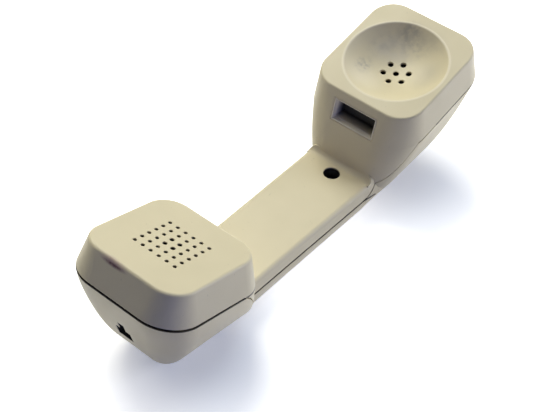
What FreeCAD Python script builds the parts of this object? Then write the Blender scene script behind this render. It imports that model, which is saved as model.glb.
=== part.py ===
import FreeCAD, Part
import math
import os
from FreeCAD import Placement, Rotation, Vector

os.makedirs("parts", exist_ok=True)

# A telephone handset lying on its back, in millimetres. +X runs along the handle to the ear end, +Z out of
# the faces, and the origin is on the resting back under the middle of its length.

# Handle, measured from its back
handle_height = 17.0
handle_parting_height = 10.5
handle_top_half_mouth = 16.7
handle_top_half_ear = 18.0
handle_side_flare = 0.9
handle_back_half = 13.2
handle_side_bulge = 2.2
handle_crease_round = 2.2
handle_start_x = -62.0
handle_flare_x = 34.0
handle_end_x = 46.5
handle_foot_flare = 2.9
handle_foot_bulge = 0.6
handle_back_thicker = 1.1

# Mouth end block: its flat face, and the flared skirt down to the joint line
mouth_x = -77.2
mouth_z = 54.7
mouth_tilt = 16.0
mouth_outer_length = 27.0
mouth_inner_length = 26.2
mouth_half_width = 25.7
mouth_corner = 11.0
mouth_skirt = 14.9
mouth_skirt_flare = 3.9
mouth_outer_flare = 3.4
mouth_inner_flare = 5.7
mouth_low_corner = 16.3
mouth_edge_round = 1.5
mouth_foot_round = 2.4

# The bowl under the mouth block's joint line, in four steps down to the back. Each has its height as a share
# of the joint line's at either end, its reach in from those ends, how much narrower it is, and its corners.
mouth_bowl = [
    (0.665, 0.595, 3.5, -1.1, 2.4, 13.8, 12.0),
    (0.410, 0.315, 7.2, -3.6, 7.3, 10.4, 9.0),
    (0.185, 0.110, 12.4, -6.5, 13.2, 7.2, 7.0),
    (0.0, 0.0, 23.6, -10.5, 19.4, 4.4, 5.0),
]

# Ear end block
ear_x = 75.6
ear_z = 59.9
ear_tilt = 12.9
ear_half_length = 29.4
ear_outer_length = 31.3
ear_half_width = 27.8
ear_corner = 12.4
ear_skirt = 16.6
ear_skirt_flare = 2.0
ear_wall_corner = 17.0
ear_outer_flare = 1.6
ear_edge_round = 1.0
ear_wall_foot_x = 40.5
ear_foot_round = 3.6

# The bowl under the ear block, in three steps
ear_bowl = [
    (0.73, 0.70, -2.0, 4.8, 2.5, 15.5, 16.0),
    (0.31, 0.32, -3.9, 17.0, 8.0, 12.0, 14.0),
    (0.0, 0.0, -1.8, 43.2, 18.6, 6.5, 8.0),
]

# Shell, and the joint between its halves
wall = 2.4
groove_width = 0.8
groove_depth = 1.1
groove_gape = 0.35
joint_turn_mouth = 14.5
joint_foot_mouth = 34.5
joint_turn_ear = 22.5
joint_foot_ear = 47.3
lip_height = 1.6
lip_clearance = 0.1

# Mouth grid: like holes, with four wider ones in the middle
grid_count = 6
grid_pitch = 4.2
grid_hole_r = 0.9
grid_middle_hole_r = 1.08

# Ear dish
dish_r = 24.4
dish_depth = 9.45
dish_rim_round = 0.8
dish_hole_r = 1.45
dish_hole_ring = 6.05
dish_hole_count = 6
dish_pad_r = 11.5
dish_pad_drop = 0.75

# Window for a wall telephone's tab, measured down the inner wall of the ear block
window_half_width = 11.7
window_top = 4.9
window_bottom = 16.4
pocket_depth = 9.6
pocket_wall = 1.1
pocket_lip = 0.35
pocket_lip_depth = 2.0
pocket_roof_slope = 0.27
pocket_floor_slope = 0.12
pocket_gap = 0.08
pocket_setback = 0.12
window_bevel = 0.5

# Case screw and its well
screw_x = 33.0
well_r = 4.0
well_wall = 1.4
well_floor_z = 10.0
well_floor = 2.0
screw_head_r = 2.9
screw_head_height = 2.1
screw_shank_r = 1.45
screw_length = 7.0
screw_clearance = 0.05
boss_wall = 2.2

# Modular jack in the end face
jack_x = -104.6
jack_z = 24.4
jack_lean = 15.5
jack_opening_width = 7.9
jack_opening_height = 6.9
jack_latch_width = 3.2
jack_latch_height = 4.6
jack_depth = 10.5
jack_wall = 1.6
jack_setback = 3.3
jack_gap = 0.05
contact_count = 4
contact_pitch = 1.02
contact_wire = 0.46
contact_length = 6.2
contact_rise = 24.0
contact_root_r = 0.6

# Transmitter capsule, from the face's inside
cloth = 0.4
mic_cloth_r = 16.0
mic_gasket_r = 17.0
mic_gasket_inner_r = 13.5
mic_gasket_height = 1.6
mic_r = 16.5
mic_height = 10.5
mic_skin = 0.7
mic_port_r = 0.9
mic_port_x = 4.2
mic_element_r = 4.85
mic_element_height = 4.6
board = 1.6
mic_base_height = 2.4
mic_post_y = 20.6
mic_lug_x = 9.5
mic_lug_y = 4.0
mic_lug_height = 1.2

# Receiver capsule, from the pad under the dish
ear_gasket_height = 2.0
receiver_r = 17.6
receiver_height = 13.6
receiver_wall = 1.5
ledge_width = 1.6
coil_r = 6.9
coil_wall = 0.6
coil_length = 4.6
magnet_gap = 0.35
diaphragm_r = 7.9
diaphragm = 0.3
dome_rise = 1.1
receiver_post_y = 20.2
post_r = 2.4
clamp_width = 12.0
clamp_height = 2.5
clamp_rail = 2.5
clamp_screw_r = 1.1
clamp_head_r = 2.3
clamp_head_height = 1.6
clamp_screw_length = 8.0

# Weight bar in the handle
weight_start_x = -36.0
weight_end_x = 20.0
weight_half_width = 8.5
weight_height = 7.0
pad_height = 1.6

# Terminals and wiring
terminal_x = 12.6
terminal_y = 5.6
terminal_height = 3.0
varistor_r = 2.9
varistor_height = 1.8
lead_r = 0.6
lead_side = 11.3
lead_height = 7.0


def vec(x, z):
    return Vector(x, 0, z)


def along(tilt):
    a = math.radians(tilt)
    return vec(math.cos(a), -math.sin(a))


def normal(tilt):
    a = math.radians(tilt)
    return vec(math.sin(a), math.cos(a))


mouth_face = vec(mouth_x, mouth_z)
ear_face = vec(ear_x, ear_z)
mouth_place = Placement(mouth_face, Rotation(Vector(0, 1, 0), mouth_tilt))
ear_place = Placement(ear_face, Rotation(Vector(0, 1, 0), -ear_tilt))
jack_place = Placement(vec(jack_x, jack_z), Rotation(Vector(0, 1, 0), -jack_lean))
ear_wall_top = ear_face - along(-ear_tilt) * ear_half_length
ear_wall_foot = vec(ear_wall_foot_x, handle_height)
ear_wall_down = (ear_wall_foot - ear_wall_top).normalize()


def placed(shape, place):
    shape = shape.copy()
    shape.Placement = place.multiply(shape.Placement)
    return shape


def cylinder(r, bottom, top, x=0, y=0):
    return Part.makeCylinder(r, top - bottom, Vector(x, y, bottom))


def ring(outer_r, inner_r, bottom, top, x=0, y=0):
    return cylinder(outer_r, bottom, top, x, y).cut(cylinder(inner_r, bottom - 1, top + 1, x, y))


def box(x0, x1, y0, y1, z0, z1):
    return Part.makeBox(x1 - x0, y1 - y0, z1 - z0, Vector(x0, y0, z0))


def rounded_box(x0, x1, y0, y1, z0, z1, r):
    solid = box(x0, x1, y0, y1, z0, z1)
    upright = [e for e in solid.Edges if abs(e.BoundBox.ZLength - (z1 - z0)) < 1e-6]
    return solid.makeFillet(r, upright)


def section(left, right, half_width, left_r, right_r):
    """A rounded rectangle that stands across the part between two points of the side view."""
    length = (right - left).Length
    run = (right - left).normalize()
    left_r = min(left_r, half_width - 0.5)
    right_r = min(right_r, half_width - 0.5)

    def at(u, v):
        return left + run * u + Vector(0, v, 0)

    def corner(u, v, r, start):
        points = []
        for step in (0, 45, 90):
            a = math.radians(start + step)
            points.append(at(u + r * math.cos(a), v + r * math.sin(a)))
        return Part.Arc(*points).toShape()

    far = length - right_r
    edges = [
        corner(left_r, -half_width + left_r, left_r, 180),
        Part.makeLine(at(left_r, -half_width), at(far, -half_width)),
        corner(far, -half_width + right_r, right_r, 270),
        Part.makeLine(at(length, -half_width + right_r), at(length, half_width - right_r)),
        corner(far, half_width - right_r, right_r, 0),
        Part.makeLine(at(far, half_width), at(left_r, half_width)),
        corner(left_r, half_width - left_r, left_r, 90),
        Part.makeLine(at(0, half_width - left_r), at(0, -half_width + left_r)),
    ]
    return Part.Wire(edges)


def block(face, skirt, bowl):
    """A straight flared skirt under a flat face, then the rounded bowl behind the joint."""
    upper = Part.makeLoft([face, skirt], True, True)
    lower = Part.makeLoft([skirt] + bowl, True, False)
    return upper, lower


def bowl_sections(steps, left, right, half_width, inset):
    """The steps of a bowl between the two ends of its joint line, drawn in by a distance."""
    sections = []
    for left_share, right_share, left_in, right_in, narrower, left_r, right_r in steps:
        low = vec(left.x + left_in + inset, left.z * left_share + inset * (1 - left_share))
        far = vec(right.x - right_in - inset, right.z * right_share + inset * (1 - right_share))
        sections.append(section(low, far, half_width - narrower - inset, left_r - inset, right_r - inset))
    return sections


def mouth_block(inset):
    run = along(mouth_tilt)
    out = normal(mouth_tilt)
    r = mouth_corner - inset
    top = mouth_face - out * inset
    low = mouth_face - out * mouth_skirt
    left = low - run * (mouth_outer_length + mouth_outer_flare)
    right = low + run * (mouth_inner_length + mouth_inner_flare)
    low_half_width = mouth_half_width + mouth_skirt_flare
    left_r = mouth_low_corner - inset
    right_r = r + mouth_skirt_flare
    start = top - run * (mouth_outer_length - inset)
    end = top + run * (mouth_inner_length - inset)
    face = section(start, end, mouth_half_width - inset, r, r)
    skirt = section(left + run * inset, right - run * inset, low_half_width - inset, left_r, right_r)
    return block(face, skirt, bowl_sections(mouth_bowl, left, right, low_half_width, inset))


def ear_block(inset):
    run = along(-ear_tilt)
    out = normal(-ear_tilt)
    r = ear_corner - inset
    top = ear_face - out * inset
    low = ear_face - out * ear_skirt
    left = ear_wall_top + ear_wall_down * (ear_skirt / abs(ear_wall_down.dot(out)))
    right = low + run * (ear_outer_length + ear_outer_flare)
    low_half_width = ear_half_width + ear_skirt_flare
    left_r = ear_wall_corner - inset
    right_r = r + ear_skirt_flare
    start = top - run * (ear_half_length - inset)
    end = top + run * (ear_outer_length - inset)
    face = section(start, end, ear_half_width - inset, r, r)
    skirt = section(left + run * inset, right - run * inset, low_half_width - inset, left_r, right_r)
    return block(face, skirt, bowl_sections(ear_bowl, left, right, low_half_width, inset))


def handle_section(x, top_half, side_flare, bulge, inset):
    """Across the handle: a flat top, rounded creases, flaring sides, and a belly down to the back."""
    side = Vector(0, top_half + side_flare - inset, handle_parting_height)
    low = inset * handle_back_thicker
    back = Vector(0, handle_back_half - inset, low)
    crease = Vector(0, top_half - inset, handle_height - inset)
    chord = back - side
    belly = (side + back) * 0.5 + Vector(0, -chord.z, chord.y).normalize() * bulge
    down = (side - crease).normalize()
    inward = Vector(0, -1, 0)
    r = max(handle_crease_round - inset, 0.4)
    turn = math.pi - inward.getAngle(down)
    reach = r * math.tan(turn / 2)
    towards = (inward + down).normalize()
    bend = crease + towards * (r / math.cos(turn / 2) - r)

    def at(point, side_sign):
        return Vector(x, side_sign * point.y, point.z)

    flat_end = crease + inward * reach
    side_start = crease + down * reach
    edges = [Part.makeLine(at(flat_end, -1), at(flat_end, 1))]
    edges.append(Part.Arc(at(flat_end, 1), at(bend, 1), at(side_start, 1)).toShape())
    edges.append(Part.makeLine(at(side_start, 1), at(side, 1)))
    edges.append(Part.Arc(at(side, 1), at(belly, 1), at(back, 1)).toShape())
    edges.append(Part.makeLine(at(back, 1), at(back, -1)))
    edges.append(Part.Arc(at(back, -1), at(belly, -1), at(side, -1)).toShape())
    edges.append(Part.makeLine(at(side, -1), at(side_start, -1)))
    edges.append(Part.Arc(at(side_start, -1), at(bend, -1), at(flat_end, -1)).toShape())
    return Part.Wire(edges)


def handle_form(inset):
    """The bar of the handle, and its foot, whose sides alone flare out to the ear block."""
    sides = (handle_side_flare, handle_side_bulge, inset)
    foot_sides = (handle_foot_flare, handle_foot_bulge, inset)
    near = handle_section(handle_start_x, handle_top_half_mouth, *sides)
    far = handle_section(handle_flare_x, handle_top_half_ear, *sides)
    foot = handle_section(handle_end_x, handle_top_half_ear, *foot_sides)
    return Part.makeLoft([near, far], True, True), Part.makeLoft([far, foot], True, True)


def envelope(inset):
    """The whole handset as one form, drawn in by a distance."""
    mouth_upper, mouth_lower = mouth_block(inset)
    ear_upper, ear_lower = ear_block(inset)
    bar, foot = handle_form(inset)
    return mouth_lower.fuse([mouth_upper, bar, foot, ear_lower, ear_upper]).removeSplitter()


def ear_foot_cove():
    """The hollow curve from the handle's top up into the ear block's inner wall, rounded off at both ends."""
    up = ear_wall_down * -1
    r = ear_foot_round
    reach = r / math.tan(vec(-1, 0).getAngle(up) / 2)
    start = ear_wall_foot - vec(reach, 0)
    end = ear_wall_foot + up * reach
    centre = start + vec(0, r)
    bend = centre + (ear_wall_foot - centre).normalize() * r
    deep = vec(ear_wall_foot.x + r, handle_height - r / 2)
    outline = Part.Wire([
        Part.Arc(start, bend, end).toShape(),
        Part.makeLine(end, vec(deep.x, end.z)),
        Part.makeLine(vec(deep.x, end.z), deep),
        Part.makeLine(deep, vec(start.x, deep.z)),
        Part.makeLine(vec(start.x, deep.z), start),
    ])
    half = handle_top_half_ear
    face = Part.Face(outline)
    face.translate(Vector(0, -half, 0))
    cove = face.extrude(Vector(0, 2 * half, 0))
    ends = box(start.x - 1, deep.x + 1, -half, half, deep.z - 1, end.z + 0.05)
    upper = [e for e in ends.Edges if e.BoundBox.ZMin > end.z and e.BoundBox.YLength < 0.01]
    return cove.common(ends.makeFillet(reach * 1.2, upper))


def joint_line(shift, gape=0.0):
    """Everything above a line of the side view: the joint between the halves, raised by a distance."""
    mouth_low = mouth_face - normal(mouth_tilt) * mouth_skirt
    ear_low = ear_face - normal(-ear_tilt) * ear_skirt
    level = handle_parting_height
    up = vec(0, shift)

    def on_mouth(x):
        return vec(x, mouth_low.z - (x - mouth_low.x) * math.tan(math.radians(mouth_tilt)))

    def on_ear(x):
        return vec(x, ear_low.z + (x - ear_low.x) * math.tan(math.radians(ear_tilt)))

    def curve(*poles):
        bezier = Part.BezierCurve()
        bezier.setPoles([p + up for p in poles])
        return bezier.toShape()

    start = on_mouth(mouth_low.x - 50) + vec(0, gape)
    mouth_turn = on_mouth(mouth_low.x + joint_turn_mouth)
    mouth_foot = vec(mouth_low.x + joint_foot_mouth, level)
    ear_foot = vec(ear_low.x - joint_foot_ear, level)
    ear_turn = on_ear(ear_low.x - joint_turn_ear)
    end = on_ear(ear_low.x + 50)
    high = ear_face.z + mouth_face.z
    edges = [
        Part.makeLine(start + up, mouth_turn + up),
        curve(mouth_turn, mouth_turn + vec(9.0, -5.0), vec(mouth_foot.x - 8.0, level), mouth_foot),
        Part.makeLine(mouth_foot + up, ear_foot + up),
        curve(ear_foot, ear_foot + vec(11.0, 0), ear_turn - vec(7.0, 14.0), ear_turn),
        Part.makeLine(ear_turn + up, end + up),
        Part.makeLine(end + up, vec(end.x, high)),
        Part.makeLine(vec(end.x, high), vec(start.x, high)),
        Part.makeLine(vec(start.x, high), start + up),
    ]
    face = Part.Face(Part.Wire(edges))
    face.translate(Vector(0, -60, 0))
    return face.extrude(Vector(0, 120, 0))


def foot_middle():
    """Between the sides, the corner of the handle's top and the ear block stays whole, in the front half."""
    half = handle_top_half_ear - wall
    low = handle_height - wall - 2
    return box(ear_wall_foot.x - 2.5, ear_wall_foot.x + wall + 2, -half, half, low, handle_height + 3)


def face_edges(shape, centre, out):
    """The edges of a flat face, found by the plane that they lie in."""
    found = []
    for edge in shape.Edges:
        points = [edge.valueAt(edge.FirstParameter), edge.valueAt(edge.LastParameter)]
        if max(abs((p - centre).dot(out)) for p in points) < 0.01:
            found.append(edge)
    return found


def mouth_foot_edges(form):
    """Where the handle's flat top meets the mouth block."""
    found = []
    for edge in form.Edges:
        b = edge.BoundBox
        across = b.XLength < 0.1 and b.YLength > 1
        if across and b.XMax < 0 and handle_height - 0.1 < b.ZMin and b.ZMax < handle_height + 0.1:
            found.append(edge)
    return found


def outer_form():
    """The outside, with its rounded edges: the handset before it is hollowed and parted."""
    form = envelope(0.0)
    form = form.makeFillet(mouth_foot_round, mouth_foot_edges(form))
    form = form.fuse(ear_foot_cove()).removeSplitter()
    form = form.makeFillet(mouth_edge_round, face_edges(form, mouth_face, normal(mouth_tilt)))
    return form.makeFillet(ear_edge_round, face_edges(form, ear_face, normal(-ear_tilt)))


def dish_ball(extra):
    r = (dish_r**2 + dish_depth**2) / (2 * dish_depth)
    return placed(Part.makeSphere(r + extra, Vector(0, 0, r - dish_depth)), ear_place)


def dish_underside(x):
    """How deep the dish's back lies under the ear face, at a distance from the dish's middle."""
    r = (dish_r**2 + dish_depth**2) / (2 * dish_depth)
    return math.sqrt((r + wall) ** 2 - x**2) - (r - dish_depth)


ear_pad_z = -(dish_depth + wall + dish_pad_drop)
ear_clamp_z = ear_pad_z - ear_gasket_height - receiver_height
mic_clamp_z = -(wall + mic_gasket_height + mic_height)
pocket_lean = math.degrees(math.atan2(-ear_wall_down.x, -ear_wall_down.z))
pocket_place = Placement(ear_wall_top, Rotation(Vector(0, 1, 0), pocket_lean))


def grille_holes():
    holes = []
    middle = (grid_count - 1) / 2
    for i in range(grid_count):
        for j in range(grid_count):
            near = abs(i - middle) < 1 and abs(j - middle) < 1
            r = grid_middle_hole_r if near else grid_hole_r
            holes.append(cylinder(r, -wall - 1, 1, (i - middle) * grid_pitch, (j - middle) * grid_pitch))
    return placed(Part.Compound(holes), mouth_place)


def dish_holes():
    holes = [cylinder(dish_hole_r, ear_pad_z - 1, 0)]
    for i in range(dish_hole_count):
        a = 2 * math.pi * i / dish_hole_count
        x = dish_hole_ring * math.cos(a)
        y = dish_hole_ring * math.sin(a)
        holes.append(cylinder(dish_hole_r, ear_pad_z - 1, 0, x, y))
    return placed(Part.Compound(holes), ear_place)


def pocket_form(half_width, top, bottom, start, depth):
    """A box let into the inner wall of the ear block; its roof and floor close in towards its back."""

    def roof(x):
        return vec(x, -top - pocket_roof_slope * x)

    def floor(x):
        return vec(x, -bottom + pocket_floor_slope * x)

    profile = Part.makePolygon([roof(start), roof(depth), floor(depth), floor(start), roof(start)])
    face = Part.Face(profile)
    face.translate(Vector(0, -half_width, 0))
    return face.extrude(Vector(0, 2 * half_width, 0))


def window_rim(depth, wider):
    """The window's outline, made wider, at a depth in the wall."""
    half = window_half_width + wider
    top = -window_top + wider
    bottom = -window_bottom - wider
    corners = ((-half, bottom), (half, bottom), (half, top), (-half, top), (-half, bottom))
    return Part.makePolygon([Vector(depth, y, z) for y, z in corners])


def window_opening():
    """The hole for the pocket, bevelled all round where it comes out of the wall."""
    outer = window_rim(-window_bevel, 2 * window_bevel)
    bevel = Part.makeLoft([outer, window_rim(window_bevel, 0.0)], True, True)
    return pocket_form(window_half_width, window_top, window_bottom, -1, pocket_depth + 1).fuse(bevel)


def clamp_posts(post_y, top, bottom):
    posts = [cylinder(post_r, bottom, top, 0, side * post_y) for side in (-1, 1)]
    pilots = [
        cylinder(clamp_screw_r + screw_clearance, bottom - 1, bottom + clamp_screw_length, 0, side * post_y)
        for side in (-1, 1)
    ]
    return posts, pilots


def front_shell(outer, core, cavity, above, above_lip):
    """The half with both faces, the handle's top and the window."""
    shell = outer.common(above)
    shell = shell.cut(core.cut(above_lip))
    hollow = cavity.cut(dish_ball(wall))
    shell = shell.cut(hollow)
    pad = placed(cylinder(dish_pad_r, ear_pad_z, -dish_depth - wall / 2), ear_place)
    rib_low = ear_pad_z - ear_gasket_height - 3
    rib = placed(ring(receiver_r + 1.9, receiver_r + 0.4, rib_low, 0.8 - dish_underside(20)), ear_place)
    mic_posts, mic_pilots = clamp_posts(mic_post_y, -wall / 2, mic_clamp_z)
    ear_posts, ear_pilots = clamp_posts(receiver_post_y, -wall, ear_clamp_z)
    well = cylinder(well_r + well_wall, well_floor_z - well_floor, handle_height - wall / 2, screw_x)
    posts = [placed(p, mouth_place) for p in mic_posts] + [placed(p, ear_place) for p in ear_posts]
    shell = shell.fuse([pad, rib, well] + posts)
    cuts = [
        dish_ball(0.0),
        grille_holes(),
        dish_holes(),
        placed(window_opening(), pocket_place),
        cylinder(well_r, well_floor_z, handle_height + 1, screw_x),
        cylinder(screw_shank_r + 0.25, 0, handle_height, screw_x),
    ]
    cuts += [placed(p, mouth_place) for p in mic_pilots]
    cuts += [placed(p, ear_place) for p in ear_pilots]
    shell = shell.cut(cuts)
    circles = [e for e in shell.Edges if type(e.Curve).__name__ == "Circle"]
    rim = [e for e in circles if abs(e.Curve.Radius - dish_r) < 0.01]
    return shell.makeFillet(dish_rim_round, rim)


def jack_opening(start, end, gap):
    body = box(start, end, -jack_opening_width / 2 - gap, jack_opening_width / 2 + gap,
               -jack_opening_height / 2 - gap, jack_opening_height / 2 + gap)
    latch = box(start, end, -jack_latch_width / 2 - gap, jack_latch_width / 2 + gap, 0,
                jack_opening_height / 2 + jack_latch_height + gap)
    return body.fuse(latch)


jack_back = jack_setback + jack_depth + jack_wall
jack_half = jack_opening_width / 2 + jack_wall
jack_low = -jack_opening_height / 2 - jack_wall
jack_high = jack_opening_height / 2 + jack_latch_height + jack_wall


def back_shell(outer, core, lip_core, cavity, above, below_lip):
    """The boat-shaped half, with the lip that locates the other half and the seats of what it carries."""
    shell = outer.cut(above)
    lip = lip_core.common(below_lip)
    shell = shell.fuse(lip)
    shell = shell.cut(cavity)
    boss = cylinder(screw_shank_r + screw_clearance + boss_wall, wall, well_floor_z - well_floor, screw_x)
    cradle = box(1.2, jack_back - 1.0, -jack_half - 1.6, jack_half + 1.6, jack_low - 1.4, jack_high - 5.0)
    cradle = placed(cradle, jack_place).common(core)
    rib_top = wall + pad_height + weight_height - 2
    ribs = []
    for x in (weight_start_x - 1.7, weight_end_x + 0.1):
        ribs.append(box(x, x + 1.6, -weight_half_width, weight_half_width, wall, rib_top))
    shell = shell.fuse([boss, cradle] + ribs)
    half = jack_half + jack_gap
    seat = box(jack_setback, jack_back + 1, -half, half, jack_low - jack_gap, jack_high + 1)
    pilot_end = well_floor_z - screw_length - 0.3
    pilot = cylinder(screw_shank_r + screw_clearance, pilot_end, well_floor_z, screw_x)
    opening = jack_opening(-4, jack_back - 2, jack_gap)
    return shell.cut([placed(seat, jack_place), placed(opening, jack_place), pilot])


def pan_screw(head_r, head_height, shank_r, length, socket_r):
    """A screw with its head up, standing on the plane under the head."""
    low = head_height * 0.45
    head = cylinder(head_r, 0, low)
    crown = Part.makeCone(head_r, head_r - low * 0.8, head_height - low, Vector(0, 0, low))
    head = head.fuse(crown)
    slots = [
        box(-socket_r, socket_r, -0.35, 0.35, head_height * 0.4, head_height + 1),
        box(-0.35, 0.35, -socket_r, socket_r, head_height * 0.4, head_height + 1),
    ]
    tip = Part.makeCone(shank_r * 0.4, shank_r, shank_r, Vector(0, 0, -length))
    return head.fuse([cylinder(shank_r, -length + shank_r, 0), tip]).cut(slots).removeSplitter()


def case_screw():
    screw = pan_screw(screw_head_r, screw_head_height, screw_shank_r, screw_length, 1.7)
    return placed(screw, Placement(Vector(screw_x, 0, well_floor_z), Rotation()))


def hook_pocket():
    """The moulded box behind the window, open to the front, where its walls thin to a lip."""
    half = window_half_width - pocket_gap
    top = window_top + pocket_gap
    bottom = window_bottom - pocket_gap
    shell = pocket_form(half, top, bottom, pocket_setback, pocket_depth)
    inside = pocket_depth - pocket_wall
    room = pocket_form(half - pocket_wall, top + pocket_wall, bottom - pocket_wall, -1, inside)
    lip = window_rim(-pocket_lip, -pocket_gap - pocket_lip)
    mouth = Part.makeLoft([lip, window_rim(pocket_lip_depth, -pocket_gap - pocket_wall)], True, True)
    return placed(shell.cut([room, mouth]), pocket_place)


def jack_housing():
    body = box(jack_setback, jack_back, -jack_half, jack_half, jack_low, jack_high)
    room = jack_opening(jack_setback - 1, jack_setback + jack_depth, 0)
    slot = box(contact_root_x - contact_root_r - 0.15, contact_root_x + contact_length + 0.8,
               -contact_comb_half - 0.2, contact_comb_half + 0.2, jack_low - 1, 0)
    return placed(body.cut([room, slot]), jack_place)


contact_root_x = jack_setback + 1.9
contact_root_z = -jack_opening_height / 2 - 0.8
contact_comb_half = (contact_count - 1) * contact_pitch / 2 + 0.5


def jack_contacts():
    """Four spring wires on one moulded root bar, leaning into the socket."""
    low = Vector(0, -contact_comb_half, 0)
    root = Part.makeCylinder(contact_root_r, 2 * contact_comb_half, low, Vector(0, 1, 0))
    half = contact_wire / 2
    wires = []
    for i in range(contact_count):
        y = (i - (contact_count - 1) / 2) * contact_pitch
        wire = box(0, contact_length, y - half, y + half, -half, half)
        wires.append(placed(wire, Placement(Vector(0, 0, 0), Rotation(Vector(0, 1, 0), -contact_rise))))
    comb = root.fuse(wires).removeSplitter()
    return placed(comb, jack_place.multiply(Placement(vec(contact_root_x, contact_root_z), Rotation())))


def mic_parts():
    z0 = -wall
    z1 = z0 - mic_gasket_height
    z2 = z1 - mic_height
    front = z1 - mic_skin
    board_top = front - mic_element_height
    base_top = z2 + mic_base_height
    inside = mic_r - mic_skin
    can = cylinder(mic_r, z2, z1).cut(cylinder(inside, z2 - 1, front))
    holes = []
    for x, y in ((1, 0), (0, 1), (-1, 0), (0, -1)):
        holes.append(cylinder(mic_port_r, front - 1, z1 + 1, x * mic_port_x, y * mic_port_x))
    recess = cylinder(mic_cloth_r + 0.1, z0 - cloth - 0.05, z0 + 1)
    base = ring(inside - 0.05, inside - 3.0, base_top, board_top - board)
    base = base.fuse(cylinder(inside - 0.05, z2, base_top))
    lugs = [cylinder(1.4, z2 - mic_lug_height, z2 + 0.5, -mic_lug_x, side * mic_lug_y) for side in (-1, 1)]
    parts = {
        "mic_cloth": cylinder(mic_cloth_r, z0 - cloth, z0),
        "mic_gasket": ring(mic_gasket_r, mic_gasket_inner_r, z1, z0).cut(recess),
        "mic_can": can.cut(holes),
        "mic_element": cylinder(mic_element_r, board_top, front),
        "mic_board": cylinder(inside - 0.1, board_top - board, board_top),
        "mic_base": base.fuse(lugs),
    }
    return parts


def clamp(post_y, top):
    """A moulded bridge from post to post, with a hole for each screw."""
    half = post_y + post_r
    bar = rounded_box(-clamp_width / 2, clamp_width / 2, -half, half, top - clamp_height, top, post_r)
    low = top - clamp_height - 1
    holes = [cylinder(clamp_screw_r + 0.2, low, top + 1, 0, side * post_y) for side in (-1, 1)]
    inside = clamp_width / 2 - clamp_rail
    relief = rounded_box(-inside, inside, 7 - post_y, post_y - 7, low, top + 1, 1.5)
    return bar.cut(holes + [relief])


def clamp_screws(post_y, top):
    """Two like screws that come from behind."""
    screws = []
    for side in (-1, 1):
        screw = pan_screw(clamp_head_r, clamp_head_height, clamp_screw_r, clamp_screw_length, 1.2)
        turn = Placement(Vector(0, side * post_y, top - clamp_height), Rotation(Vector(1, 0, 0), 180))
        screws.append(placed(screw, turn))
    return Part.Compound(screws)


def receiver_parts():
    z0 = ear_pad_z
    z1 = z0 - ear_gasket_height
    plate = z1 - receiver_wall
    seat = plate - 2.3
    floor_top = ear_clamp_z + 5.2
    back = ear_clamp_z
    inner = receiver_r - receiver_wall
    frame = cylinder(receiver_r, back, z1).cut(cylinder(inner, floor_top, plate))
    frame = frame.cut(cylinder(inner, back - 1, floor_top - receiver_wall))
    ledge = ring(inner + 0.2, inner - ledge_width, seat - 1.0, seat)
    yoke_r = coil_r + coil_wall + magnet_gap + 1.6
    gap_r = coil_r + coil_wall + magnet_gap
    pole_r = coil_r - magnet_gap
    frame = frame.fuse(ledge).cut(cylinder(yoke_r + 0.05, back - 2, floor_top + 1))
    ports = [cylinder(1.2, plate - 1, z1 + 1)]
    for i in range(6):
        a = math.pi * i / 3
        ports.append(cylinder(1.2, plate - 1, z1 + 1, 5.5 * math.cos(a), 5.5 * math.sin(a)))
    frame = frame.cut(ports)
    dome_top = seat + dome_rise
    coil_top = seat
    coil_low = coil_top - coil_length
    pole_top = coil_top - diaphragm - 1.1
    pole_low = pole_top - 2.0
    magnet_low = pole_low - 4.0
    yoke_low = magnet_low - 1.8
    ball = ((coil_r + 0.3) ** 2 + dome_rise**2) / (2 * dome_rise)
    middle = vec(0, dome_top - ball)
    cap = Part.makeSphere(ball, middle).cut(Part.makeSphere(ball - diaphragm, middle))
    cap = cap.common(cylinder(diaphragm_r, seat, dome_top + 1))
    dome = cap.fuse(ring(diaphragm_r, coil_r - 0.4, seat, seat + diaphragm)).removeSplitter()
    fold = inner - ledge_width
    free = diaphragm_r + 0.3
    pleat = [(inner - 0.1, 0), (fold, 0), (fold - 1.4, 0.9), (free + 1.4, 0.9), (free, 0.2)]
    film = [vec(r, seat + z) for r, z in pleat]
    film += [vec(r, seat + z + diaphragm) for r, z in reversed(pleat)]
    surround = Part.Face(Part.makePolygon(film + film[:1])).revolve(Vector(0, 0, 0), Vector(0, 0, 1), 360)
    yoke = cylinder(yoke_r, yoke_low, pole_top - 0.2).cut(cylinder(gap_r, magnet_low, pole_top + 1))
    return {
        "receiver_cloth": cylinder(dish_pad_r - 2.2, z0 - cloth, z0),
        "receiver_gasket": ring(dish_pad_r, dish_pad_r - 2.0, z1, z0),
        "receiver_frame": frame,
        "receiver_surround": surround,
        "receiver_diaphragm": dome,
        "voice_coil": ring(coil_r + coil_wall / 2, coil_r - coil_wall / 2, coil_low, coil_top),
        "receiver_pole_plate": cylinder(pole_r - coil_wall / 2, pole_low, pole_top),
        "receiver_magnet": cylinder(pole_r - coil_wall / 2 - 0.4, magnet_low, pole_low),
        "receiver_yoke": yoke,
    }, floor_top - receiver_wall


def receiver_terminals(shelf):
    lugs = []
    for side in (-1, 1):
        pin = cylinder(0.9, shelf - terminal_height, shelf, terminal_x, side * terminal_y)
        collar = cylinder(1.7, shelf - 0.8, shelf, terminal_x, side * terminal_y)
        lugs.append(pin.fuse(collar).removeSplitter())
    return Part.Compound(lugs)


def varistor(shelf):
    """The flat disc across the terminals, with a short leg to each."""
    disc = cylinder(varistor_r, shelf - varistor_height, shelf, terminal_x)
    reach = terminal_y - 0.95
    legs = Part.makeCylinder(0.3, 2 * reach, Vector(terminal_x, -reach, shelf - 1.3), Vector(0, 1, 0))
    return disc.fuse(legs).removeSplitter()


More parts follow.
